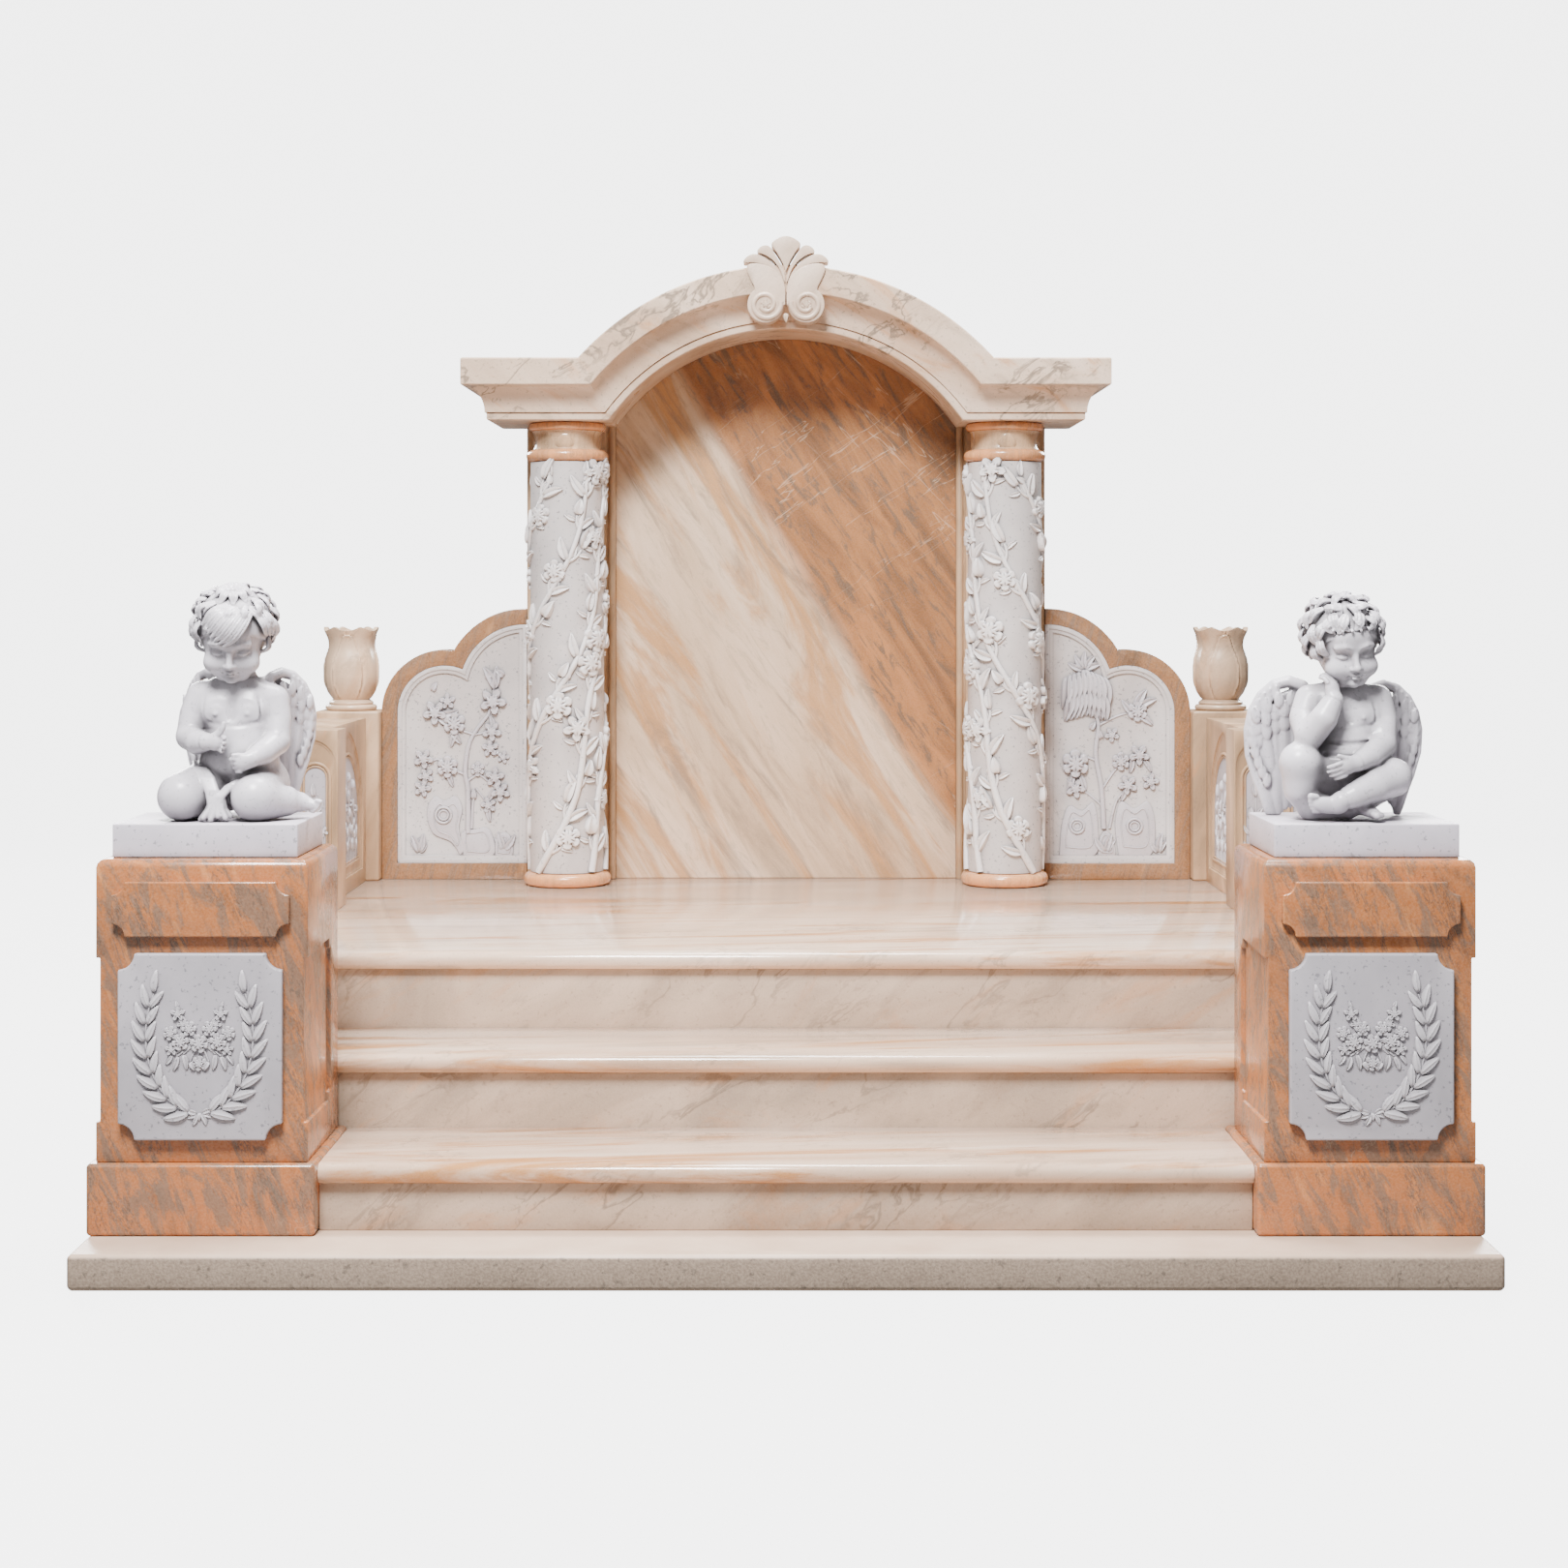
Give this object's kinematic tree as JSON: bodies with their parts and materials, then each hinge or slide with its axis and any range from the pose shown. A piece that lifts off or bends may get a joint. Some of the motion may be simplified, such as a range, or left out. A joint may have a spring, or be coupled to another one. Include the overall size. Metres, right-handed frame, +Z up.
{
  "type": "marble grave surround",
  "caption": "Stepped marble grave surround: arched headstone between carved columns, side wings, low walls with vases, and cherubs on pedestals.",
  "frame": {"origin": "under the middle of the base slab, on the ground", "axes": "+X across the front to the viewer's right, +Y from the front to the back, +Z up; the front faces -Y"},
  "size_m": [3, 2.62, 2.4986],
  "materials": {
    "base_stone": "honed, grainy front edge",
    "cream_marble": "polished, ochre streaks",
    "tan_marble": "satin",
    "orange_marble": "polished, grey-brown veins",
    "headstone_marble": "polished, two tones with golden and grey veins",
    "white_marble": "satin, carved"
  },
  "bodies": {
    "root": {"base_slab": "base_stone", "cherub_base_left": "white_marble", "cherub_base_right": "white_marble", "cherub_left": "white_marble", "cherub_right": "white_marble", "column_base_left": "orange_marble", "column_base_right": "orange_marble", "column_capital_left": "orange_marble", "column_capital_right": "orange_marble", "column_shaft_left": "white_marble", "column_shaft_right": "white_marble", "corner_post_left": "tan_marble", "corner_post_right": "tan_marble", "cornice": "cream_marble", "headstone_slab": "headstone_marble", "landing_slab": "cream_marble", "pedestal_die_left": "orange_marble", "pedestal_die_right": "orange_marble", "pedestal_plinth_left": "orange_marble", "pedestal_plinth_right": "orange_marble", "pier_panel_inner_left": "white_marble", "pier_panel_inner_right": "white_marble", "pier_panel_outer_left": "white_marble", "pier_panel_outer_right": "white_marble", "pilaster_left": "tan_marble", "pilaster_right": "tan_marble", "side_pier_left": "tan_marble", "side_pier_right": "tan_marble", "side_wall_left": "tan_marble", "side_wall_panel_left": "white_marble", "side_wall_panel_right": "white_marble", "side_wall_right": "tan_marble", "step_1_riser": "cream_marble", "step_1_tread": "cream_marble", "step_2_riser": "cream_marble", "step_2_tread": "cream_marble", "step_3_riser": "cream_marble", "tablet_left": "orange_marble", "tablet_right": "orange_marble", "vase_left": "tan_marble", "vase_right": "tan_marble", "wing_frame_left": "orange_marble", "wing_frame_right": "orange_marble", "wing_panel_left": "white_marble", "wing_panel_right": "white_marble", "wreath_panel_left": "white_marble", "wreath_panel_right": "white_marble"}
  },
  "joints": []
}
